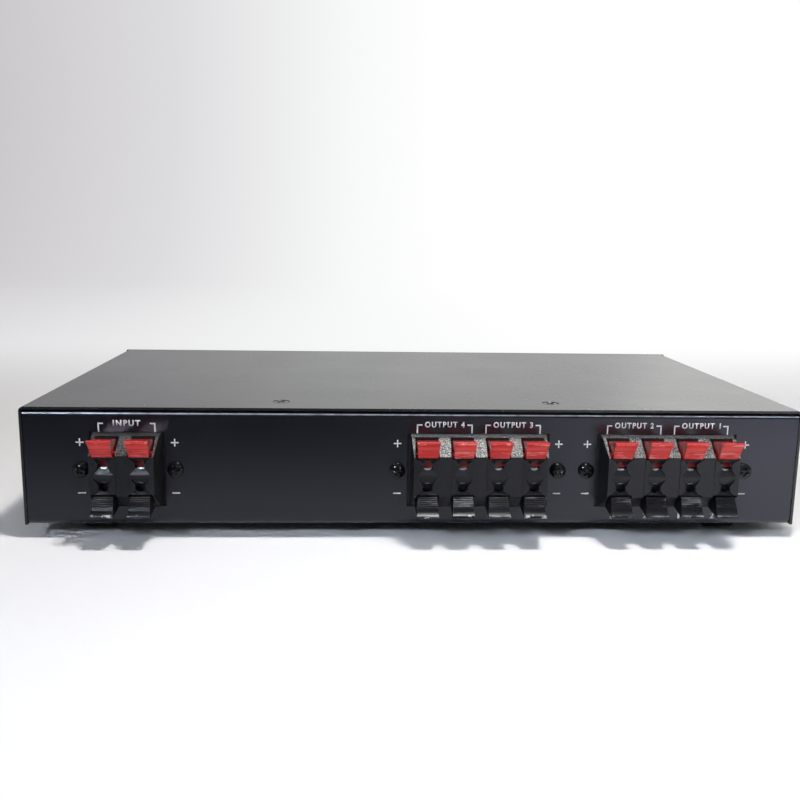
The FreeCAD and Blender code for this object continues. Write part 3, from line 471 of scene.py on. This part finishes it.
def ridge_wear(tree, colour, highlight_colour, shade_colour, tip_colour):
    """Painted highlights on a lever's ridges, painted shade in its grooves, sides and inside;
    pale tips.

    The painted highlights are weaker at the input, and the tips fainter at the outputs' far end.
    """
    depth = below_tab_face(tree)
    outer = beyond_panel(tree, *OUTER_FACE)
    ribbed = beyond_panel(tree, *RIBBED_PART)
    # painted shade in the grooves
    groove_shade = product(tree, mapped(tree, depth, *IN_GROOVE), outer, ribbed, 0.5)
    colour = blended(tree, groove_shade, colour, shade_colour)

    patchy = mapped(tree, noise(tree, 300, 3.0, 0.6, (0.3, 1.0, 1.0)), 0.50, 0.64)
    at_input = mapped(tree, place_along(tree, "X"), *INPUT_END, 1.0, 0.3)
    # painted highlights on the ridges
    ridge_highlights = product(tree, mapped(tree, depth, *ON_RIDGE), outer, patchy, at_input)
    colour = blended(tree, ridge_highlights, colour, highlight_colour)

    tips_along_x = mapped(tree, place_along(tree, "X"), *TIPS_ALONG_X, 0.12, 1.0)
    tip_patches = mapped(tree, noise(tree, 330, 4.0, 0.7), 0.56, 0.62)
    tips = product(tree, beyond_panel(tree, *TIP), tips_along_x, tip_patches)
    colour = blended(tree, tips, colour, tip_colour)

    # painted shade on the sides and on the arm inside the wire hole
    sides = mapped(tree, math_node(tree, "ABSOLUTE", facing_along(tree, "X")), 0.75, 0.95)
    inside = beyond_panel(tree, *INSIDE)
    side_shade = product(tree, math_node(tree, "MAXIMUM", sides, inside), 0.6)
    return blended(tree, side_shade, colour, shade_colour)


def worn_black(tree, colour):
    """Painted highlights and painted shade of a black lever, and its pale tips."""
    return ridge_wear(tree, colour, (0.24, 0.24, 0.25), (0.003, 0.003, 0.004),
                      (0.45, 0.45, 0.46))


def worn_red(tree, colour):
    """Painted highlights and painted shade of a red lever, and its pale tips."""
    return ridge_wear(tree, colour, (0.82, 0.26, 0.23), (0.10, 0.004, 0.005),
                      (0.80, 0.24, 0.21))


def worn_bend(tree, colour):
    """A thin painted highlight along the bend at the top of the rear panel."""
    height = place_along(tree, "Z")
    line = product(tree, mapped(tree, height, *LINE_FROM), mapped(tree, height, *LINE_TO),
                   beyond_panel(tree, *PANEL_BEND),
                   mapped(tree, noise(tree, 220, 3.0, 0.6), 0.25, 0.55, 0.35, 1.0))
    return blended(tree, line, colour, (0.46, 0.47, 0.50))


def dusty(tree, colour):
    """Painted glints: pale grains on the upward-facing upper slopes of the blocks, fewer at the
    panel and at the input.
    """
    slope_glints = product(tree, mapped(tree, facing_along(tree, "Z"), 0.25, 0.55),
                   mapped(tree, place_along(tree, "Z"), *GLINTS_FROM),
                   mapped(tree, noise(tree, 2000, 2.0, 0.7), 0.45, 0.61),
                   beyond_panel(tree, *OFF_PANEL, 0.35, 1.0),
                   mapped(tree, place_along(tree, "X"), *INPUT_END, 1.0, 0.4))
    return blended(tree, slope_glints, colour, (0.40, 0.39, 0.37))


FINISHES = [
    # slot, darker, lighter, roughness, grain, relief, other
    ("case_paint", (0.013, 0.0135, 0.013), (0.015, 0.0155, 0.015), (0.25, 0.29), 3600, 2.2e-6,
     {"Specular_IOR_Level": 0.6, "patch": 25.0}),
    # the panel's paint carries a painted highlight along its top bend
    ("panel_paint", (0.0035, 0.0035, 0.0055), (0.0045, 0.0045, 0.0065), (0.24, 0.28), 3600,
     1.2e-6, {"Specular_IOR_Level": 0.84, "Specular_Tint": (0.86, 0.88, 1.0, 1.0),
              "patch": 25.0, "wear": worn_bend}),
    ("fascia_paint", (0.007, 0.007, 0.008), (0.009, 0.009, 0.010), (0.26, 0.32), 3600, 2e-6,
     {"patch": 25.0}),
    ("foot_rubber", (0.010, 0.010, 0.010), (0.018, 0.018, 0.017), (0.75, 0.9), 1500, 2e-5, {}),
    ("black_screw_steel", (0.002, 0.002, 0.003), (0.004, 0.004, 0.005), (0.08, 0.14), 2500,
     2e-6, {"Specular_IOR_Level": 0.42}),
    ("plated_screw_steel", (0.55, 0.55, 0.53), (0.68, 0.68, 0.66), (0.25, 0.4), 3000, 3e-6,
     {"Metallic": 1.0}),
    # the blocks' plastic carries painted glints on its upper slopes
    ("terminal_plastic", (0.005, 0.005, 0.007), (0.010, 0.010, 0.013), (0.32, 0.50), 1500,
     6e-5, {"Specular_IOR_Level": 0.48, "patch": 600.0, "wear": dusty}),
    ("insulating_board", (0.10, 0.05, 0.025), (0.15, 0.08, 0.04), (0.5, 0.6), 1800, 6e-6, {}),
    ("contact_metal", (0.86, 0.85, 0.82), (0.95, 0.94, 0.92), (0.36, 0.5), 2500, 3e-6,
     {"Metallic": 1.0}),
    # the levers' plastics carry painted highlights and painted shade
    ("red_lever_plastic", (0.50, 0.027, 0.024), (0.56, 0.034, 0.030), (0.16, 0.24), 900, 2e-6,
     {"wear": worn_red}),
    ("black_lever_plastic", (0.004, 0.004, 0.006), (0.007, 0.007, 0.010), (0.26, 0.36), 900,
     4e-6, {"Specular_IOR_Level": 0.22, "wear": worn_black}),
    ("circuit_board_laminate", (0.012, 0.09, 0.035), (0.02, 0.13, 0.05), (0.35, 0.5), 900,
     5e-6, {}),
    ("support_nylon", (0.66, 0.64, 0.58), (0.74, 0.72, 0.66), (0.4, 0.5), 1500, 5e-6, {}),
    ("switch_plastic", (0.02, 0.02, 0.022), (0.03, 0.03, 0.033), (0.4, 0.5), 2500, 8e-6, {}),
    ("plunger_plastic", (0.72, 0.72, 0.69), (0.8, 0.8, 0.77), (0.35, 0.45), 2000, 4e-6, {}),
    ("button_plastic", (0.012, 0.012, 0.013), (0.018, 0.018, 0.019), (0.34, 0.44), 3200,
     6e-6, {}),
    ("resistor_ceramic", (0.62, 0.61, 0.57), (0.7, 0.69, 0.65), (0.7, 0.85), 1600, 2e-5, {}),
    ("wire_insulation", (0.02, 0.02, 0.022), (0.05, 0.05, 0.052), (0.45, 0.6), 1200, 1e-5, {}),
]
EDGE_ROUNDS = {                         # how far the edges of a finish's pieces are broken
    "terminal_plastic": 0.12 * MM, "button_plastic": 0.35 * MM,
    "fascia_paint": 0.3 * MM, "switch_plastic": 0.2 * MM, "foot_rubber": 0.5 * MM,
    "resistor_ceramic": 0.3 * MM, "plunger_plastic": 0.15 * MM,
}


def make_materials():
    """One material for each slot of the record."""
    return {slot: surface(slot, dark, light, rough, grain, relief, **other)
            for slot, dark, light, rough, grain, relief, other in FINISHES}


def round_edges(piece, width, segments, sharper_than):
    """Round the edges of a piece that turn by more than an angle, in degrees."""
    bevel = piece.modifiers.new("edges", "BEVEL")
    bevel.width = width
    bevel.segments = segments
    bevel.limit_method = "ANGLE"
    bevel.angle_limit = math.radians(sharper_than)
    bevel.harden_normals = True
    return bevel


def soften(piece, width):
    """Break a piece's edges: join its facets into faces, then round the edges between them."""
    weld = piece.modifiers.new("weld", "WELD")
    weld.merge_threshold = 1e-6
    flat = piece.modifiers.new("faces", "DECIMATE")
    flat.decimate_type = "DISSOLVE"
    flat.angle_limit = math.radians(1.0)
    round_edges(piece, width, segments=2, sharper_than=35)


def dress_nodes(materials):
    """Give every CAD node the finish of its slot."""
    for part in frame["record"]["subparts"]:
        piece, slot = nodes[part["node"]], part["material_slot"]
        piece.data.materials.clear()
        piece.data.materials.append(materials[slot])
        if slot in EDGE_ROUNDS:
            soften(piece, EDGE_ROUNDS[slot])


# ---------------------------------------------------------------- printing

INK = 0.05 * MM                         # height of the printed ink
STROKE = 0.5 * MM                       # width of the brackets' lines
FACING_REAR = Matrix(((-1, 0, 0), (0, 0, 1), (0, 1, 0))).transposed()
FACING_FRONT = Matrix(((1, 0, 0), (0, 0, 1), (0, -1, 0))).transposed()

BRACKET_TOP, BRACKET_END = CASE_BOTTOM + 40.0 * MM, CASE_BOTTOM + 36.45 * MM
BRACKET_HALF, BRACKET_STUB = 10.5 * MM, 1.8 * MM
OUTPUT_FROM_BLOCK = 13.2 * MM           # middle of an output's legend from its block's
LEGEND_LEVEL, LEGEND_HEIGHT = BRACKET_TOP - 0.1 * MM, 2.3 * MM
INPUT_WIDTH, OUTPUT_WIDTH = 10.2 * MM, 15.3 * MM
PLUS_LEVEL, MINUS_LEVEL = CASE_BOTTOM + 32.4 * MM, CASE_BOTTOM + 12.6 * MM
MARK_LENGTH, MARK_STROKE = 2.9 * MM, 0.45 * MM
CHANNEL_LEVEL, CHANNEL_HEIGHT = CASE_BOTTOM + 3.7 * MM, 2.4 * MM
CHANNEL_WIDTHS = {1: 0.8 * MM, 2: 1.5 * MM}
DIGIT_OVER_BUTTON, DIGIT_HEIGHT = 4.5 * MM, 3.2 * MM
DIGIT_WIDTHS = {1: 1.0 * MM, 2: 2.1 * MM, 3: 2.1 * MM, 4: 2.1 * MM}


def add_piece(name, mesh, material, body="case"):
    """Put a mesh into the scene as a piece that rides on a body and wears a material."""
    piece = bpy.data.objects.new(name, mesh)
    bpy.context.scene.collection.objects.link(piece)
    mesh.materials.clear()
    mesh.materials.append(material)
    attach(piece, body)
    return piece


def mesh_of(name, form):
    """A new mesh from a finished form, which is then given up."""
    mesh = bpy.data.meshes.new(name)
    form.to_mesh(mesh)
    form.free()
    return mesh


def bars(name, boxes, material):
    """Printed strokes: thin bars on the rear panel, given as (x, z, width, height)."""
    form = bmesh.new()
    for x, z, width, height in boxes:
        size = Matrix.Diagonal((width, INK * 2, height, 1.0))
        bmesh.ops.create_cube(form, size=1.0, matrix=Matrix.Translation((x, REAR, z)) @ size)
    add_piece(name, mesh_of(name, form), material)


def text_outline(name, text):
    """Flat letters as a mesh, spaced and thickened as on a silk-screened panel."""
    curve = bpy.data.curves.new(name, "FONT")
    curve.body = text
    curve.align_x = "CENTER"
    curve.offset = 0.030
    curve.space_character = 1.28
    curve.resolution_u = 3
    holder = bpy.data.objects.new(name, curve)
    mesh = bpy.data.meshes.new_from_object(holder)
    bpy.data.objects.remove(holder)
    return mesh


def words(name, text, x, z, height, width, material, wall=REAR, facing=FACING_REAR):
    """Printed word or number on a wall, centred at a point and drawn out to a width."""
    mesh = text_outline(name, text)
    low, high = (Vector((edge(v.co.x for v in mesh.vertices),
                         edge(v.co.y for v in mesh.vertices), 0)) for edge in (min, max))
    form = bmesh.new()
    form.from_mesh(mesh)
    bmesh.ops.translate(form, verts=form.verts, vec=-(low + high) / 2)
    bmesh.ops.scale(form, verts=form.verts,
                    vec=(width / (high.x - low.x), height / (high.y - low.y), 1.0))
    raised = bmesh.ops.extrude_face_region(form, geom=form.faces[:])
    top = [v for v in raised["geom"] if isinstance(v, bmesh.types.BMVert)]
    bmesh.ops.translate(form, verts=top, vec=(0, 0, INK))
    bmesh.ops.recalc_face_normals(form, faces=form.faces)
    bmesh.ops.transform(form, verts=form.verts,
                        matrix=Matrix.Translation((x, wall, z)) @ facing.to_4x4())
    form.to_mesh(mesh)
    form.free()
    add_piece(name, mesh, material)


def print_bracket(name, x, text, width, material):
    """A word between the two turned-in ends of a bracket."""
    strokes = []
    for side in (-1, 1):
        corner = x + side * BRACKET_HALF
        strokes.append((corner, (BRACKET_TOP + BRACKET_END) / 2, STROKE,
                        BRACKET_TOP - BRACKET_END))
        strokes.append((corner - side * BRACKET_STUB / 2, BRACKET_TOP - STROKE / 2,
                        BRACKET_STUB, STROKE))
    bars(f"bracket_{name}", strokes, material)
    words(f"legend_{name}", text, x, LEGEND_LEVEL, LEGEND_HEIGHT, width, material)


def print_legends(material):
    """Brackets, words, polarity marks and channel numbers at the rear, digits at the front."""
    print_bracket("input", block_x("input"), "INPUT", INPUT_WIDTH, material)
    for block, numbers in (("output_a", (3, 4)), ("output_b", (1, 2))):
        for side, number in zip((-1, 1), numbers):
            print_bracket(f"output_{number}", block_x(block) + side * OUTPUT_FROM_BLOCK,
                          f"OUTPUT {number}", OUTPUT_WIDTH, material)
    marks = []
    for block in COLUMNS:
        for x in screw_x(block):
            marks += [(x, PLUS_LEVEL, MARK_LENGTH, MARK_STROKE),
                      (x, PLUS_LEVEL, MARK_STROKE, MARK_LENGTH),
                      (x, MINUS_LEVEL, MARK_LENGTH, MARK_STROKE)]
    bars("polarity_marks", marks, material)
    for block in ("output_a", "output_b"):
        for number in range(1, COLUMNS[block] + 1):
            channel = 1 if number % 2 == 0 else 2
            words(f"channel_{block}_{number}", str(channel), column_x(block, number),
                  CHANNEL_LEVEL, CHANNEL_HEIGHT, CHANNEL_WIDTHS[channel], material)
    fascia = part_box("front_fascia")[0].y
    for number, width in DIGIT_WIDTHS.items():
        low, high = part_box(f"speaker_{number}_button")
        words(f"front_number_{number}", str(number), (low.x + high.x) / 2,
              high.z + DIGIT_OVER_BUTTON, DIGIT_HEIGHT, width, material, fascia, FACING_FRONT)


# ---------------------------------------------------------------- screws

THREAD_RADIUS, THREAD_PITCH, THREAD_ROOT = 1.5 * MM, 0.5 * MM, 0.86
SLOT_HALF, SLOT_REACH = 0.17, 0.62      # of the cross recess, as shares of the head's radius
SLOT_WALL, SLOT_END = 0.35, 0.10        # how gently its walls and its ends go down
DOME_POWER = 2.6                        # how flat a head is in the middle
PAN_RADIUS, PAN_HEIGHT, PAN_DOME, PAN_RECESS = 3.0 * MM, 2.0 * MM, 1.1 * MM, 0.9 * MM
LID_RADIUS, LID_HEIGHT, LID_DOME, LID_RECESS = 2.9 * MM, 0.6 * MM, 0.2 * MM, 0.5 * MM
LID_SCREW_FROM_END = 3.5 * MM           # the middle of a lid screw from its node's end


def ring_of(form, radius, z, count, matrix):
    """Vertices round a circle."""
    return [form.verts.new(matrix @ Vector((radius * math.cos(2 * math.pi * i / count),
                                            radius * math.sin(2 * math.pi * i / count), z)))
            for i in range(count)]


def screw_head(form, radius, height, dome, recess, matrix):
    """A cross-recessed head and its rim, on a shared form: a fine net of rings and spokes."""
    rings, spokes = 18, 48
    half_slot, reach = radius * SLOT_HALF, radius * SLOT_REACH
    net = [[form.verts.new(matrix @ Vector((0, 0, height - recess)))]]
    for ring in range(1, rings + 1):
        r = radius * ring / rings
        row = []
        for spoke in range(spokes):
            angle = 2 * math.pi * spoke / spokes
            x, y = r * math.cos(angle), r * math.sin(angle)
            near_axis, along = min(abs(x), abs(y)), max(abs(x), abs(y))
            wall = min(1.0, max(0.0, (half_slot - near_axis) / (half_slot * SLOT_WALL)))
            end = min(1.0, max(0.0, (reach - along) / (radius * SLOT_END)))
            z = height - dome * (r / radius) ** DOME_POWER - recess * min(wall, end)
            row.append(form.verts.new(matrix @ Vector((x, y, z))))
        net.append(row)
    foot = ring_of(form, radius, 0, spokes, matrix)
    net.append(foot)
    for i in range(spokes):
        j = (i + 1) % spokes
        form.faces.new((net[0][0], net[1][i], net[1][j]))
        for inner, outer in zip(net[1:], net[2:]):
            form.faces.new((inner[i], outer[i], outer[j], inner[j]))
    form.faces.new(list(reversed(foot)))


def shank(form, length, matrix):
    """Threaded shank below a head: rings that step in and out."""
    steps, sides = 2 * int(length / THREAD_PITCH), 20
    rows = []
    for step in range(steps + 1):
        radius = THREAD_RADIUS * (THREAD_ROOT if step % 2 else 1.0)
        rows.append(ring_of(form, radius, -length * step / steps, sides, matrix))
    for upper, lower in zip(rows, rows[1:]):
        for i in range(sides):
            j = (i + 1) % sides
            form.faces.new((upper[j], upper[i], lower[i], lower[j]))
    form.faces.new(rows[0])
    form.faces.new(list(reversed(rows[-1])))


def finish_screws(form, name, node, material):
    """Turn a form of screws into the piece that stands for their node."""
    bmesh.ops.recalc_face_normals(form, faces=form.faces)
    mesh = mesh_of(name, form)
    for face in mesh.polygons:
        face.use_smooth = len(face.vertices) < 10       # all but the flat ends
    piece = add_piece(name, mesh, material)
    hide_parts(node)


def make_screws(material):
    """Cross-recessed screws in place of the plain ones: six in the rear panel, two in the lid.

    No two are turned alike, as screws come to rest.
    """
    low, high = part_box("terminal_screws")
    form = bmesh.new()
    for number, block in enumerate(COLUMNS):
        for x in screw_x(block):
            turn = Matrix.Rotation(math.radians(20 + 47 * number + 900 * x), 4, "Z")
            place = Matrix.Translation((x, high.y - PAN_HEIGHT, BLOCK_LEVEL))
            place = place @ FACING_REAR.to_4x4() @ turn
            screw_head(form, PAN_RADIUS, PAN_HEIGHT, PAN_DOME, PAN_RECESS, place)
            shank(form, high.y - PAN_HEIGHT - low.y, place)
    finish_screws(form, "rear_panel_screws", "terminal_screws", material)

    low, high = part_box("cover_screws")
    form = bmesh.new()
    for x, turned in ((low.x + LID_SCREW_FROM_END, 25), (high.x - LID_SCREW_FROM_END, 55)):
        place = Matrix.Translation((x, (low.y + high.y) / 2, high.z - LID_HEIGHT))
        place = place @ Matrix.Rotation(math.radians(turned), 4, "Z")
        screw_head(form, LID_RADIUS, LID_HEIGHT, LID_DOME, LID_RECESS, place)
        shank(form, high.z - LID_HEIGHT - low.z, place)
    finish_screws(form, "lid_screws", "cover_screws", material)


# ---------------------------------------------------------------- levers and contacts

TOOTH_PITCH, TOOTH_SIZE = 1.0 * MM, (0.52 * MM, 0.3 * MM, 0.62 * MM, 1.0)
LIP_SIZE = (1.8 * MM, 0.3 * MM, 0.4 * MM, 1.0)
TEETH_RISE, LIP_RISE = 2.72 * MM, -2.75 * MM
CONTACT_REACH, CONTACT_TILT = 8.55 * MM, 24             # from the panel; degrees
CONTACT_ROUND = 0.06 * MM


def make_lever(name, turned, material):
    """One detailed lever, with its pivot lugs, in place of the plain one."""
    low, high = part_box(name)
    form = bmesh.new()
    outline = lever_profile()
    left, right = ([form.verts.new((side * lever_half_width(point.y) * MM, point.x * MM,
                                    point.y * MM)) for point in outline] for side in (-1, 1))
    form.faces.new(left)
    form.faces.new(list(reversed(right)))
    for i in range(len(outline)):
        j = (i + 1) % len(outline)
        form.faces.new((left[j], left[i], right[i], right[j]))
    lug = Matrix.Translation((0, PIVOT[0] * MM, PIVOT[1] * MM))
    lug = lug @ Matrix.Rotation(math.pi / 2, 4, "Y")
    bmesh.ops.create_cone(form, cap_ends=True, segments=16, radius1=LUG_RADIUS * MM,
                          radius2=LUG_RADIUS * MM, depth=high.x - low.x, matrix=lug)
    turn = Matrix.Rotation(math.pi, 4, "Y") if turned else Matrix.Identity(4)
    middle = Matrix.Translation(((low.x + high.x) / 2, REAR, BLOCK_LEVEL))
    bmesh.ops.transform(form, verts=form.verts, matrix=middle @ turn)
    bmesh.ops.recalc_face_normals(form, faces=form.faces)
    mesh = mesh_of(f"{name}_detail", form)
    piece = add_piece(f"{name}_detail", mesh, material, name)
    bevel = round_edges(piece, 0.16 * MM, segments=3, sharper_than=62)
    bevel.use_clamp_overlap = False
    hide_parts(name)


def make_levers(materials):
    """All twenty levers: the black ones are the red ones turned over."""
    for block, count in COLUMNS.items():
        for number in range(1, count + 1):
            for colour, turned in (("red", False), ("black", True)):
                slot = f"{colour}_lever_plastic"
                make_lever(f"{block}_{colour}_lever_{number}", turned, materials[slot])


def make_contact_teeth(material):
    """The contacts' edges in the wire holes: three teeth in a red one, a lip in a black one."""
    tilt = Matrix.Rotation(math.radians(CONTACT_TILT), 4, "X")
    for block, count in COLUMNS.items():
        form = bmesh.new()
        for number in range(1, count + 1):
            edges = [(step * TOOTH_PITCH, TEETH_RISE, TOOTH_SIZE) for step in (-1, 0, 1)]
            for offset, rise, size in edges + [(0, LIP_RISE, LIP_SIZE)]:
                place = Matrix.Translation((column_x(block, number) + offset,
                                            REAR + CONTACT_REACH, BLOCK_LEVEL + rise))
                bmesh.ops.create_cube(form, size=1.0,
                                      matrix=place @ tilt @ Matrix.Diagonal(size))
        bmesh.ops.bevel(form, geom=form.edges[:], offset=CONTACT_ROUND, segments=2,
                        affect="EDGES")
        mesh = mesh_of(f"{block}_contact_teeth", form)
        add_piece(f"{block}_contact_teeth", mesh, material)


bpy.context.scene.view_settings.view_transform = "Standard"
make_camera()
make_stage()
make_world()
make_lamps()
materials = make_materials()
dress_nodes(materials)
ink = surface("white_ink", (0.66, 0.66, 0.67), (0.74, 0.74, 0.75), (0.5, 0.6), 3000, 3e-6)
print_legends(ink)
make_screws(materials["black_screw_steel"])
make_levers(materials)
make_contact_teeth(materials["contact_metal"])
